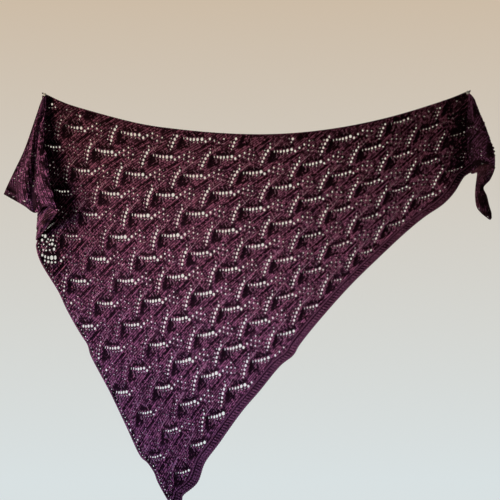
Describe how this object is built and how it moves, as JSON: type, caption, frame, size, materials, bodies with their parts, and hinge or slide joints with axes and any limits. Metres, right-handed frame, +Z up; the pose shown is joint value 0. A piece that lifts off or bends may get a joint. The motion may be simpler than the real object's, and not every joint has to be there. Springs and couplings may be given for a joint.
{
  "type": "lace shawl hung on two wall pins",
  "caption": "Triangular hand-knitted lace shawl with leaf columns and a garter border, hung by its long edge from two pins in a wall.",
  "frame": {"origin": "where the left pin's needle enters the wall's face", "axes": "+X along the wall to the right pin, +Y into the wall, +Z up; the wall's face is y = 0 and the cloth is at negative y"},
  "size_m": [1.197, 0.0718, 1.0347],
  "materials": {
    "lace_wool": "knitted wool lace",
    "border_wool": "garter-stitch wool",
    "turned_wool": "wrong side of the wool lace",
    "flap_wool": "knitted wool lace",
    "right_flap_wool": "knitted wool lace",
    "right_turned_wool": "wrong side of the wool lace",
    "tail_wool": "knitted wool lace",
    "left_pin_plastic": "clear gloss head on a steel needle",
    "right_pin_plastic": "clear gloss head on a steel needle"
  },
  "bodies": {
    "root": {"main_lace": "lace_wool", "lower_border": "border_wool", "left_turned_layer": "turned_wool", "left_corner_flap": "flap_wool", "right_corner_flap": "right_flap_wool", "right_turned_layer": "right_turned_wool", "corner_tail": "tail_wool", "left_pin": "left_pin_plastic", "right_pin": "right_pin_plastic"}
  },
  "joints": []
}
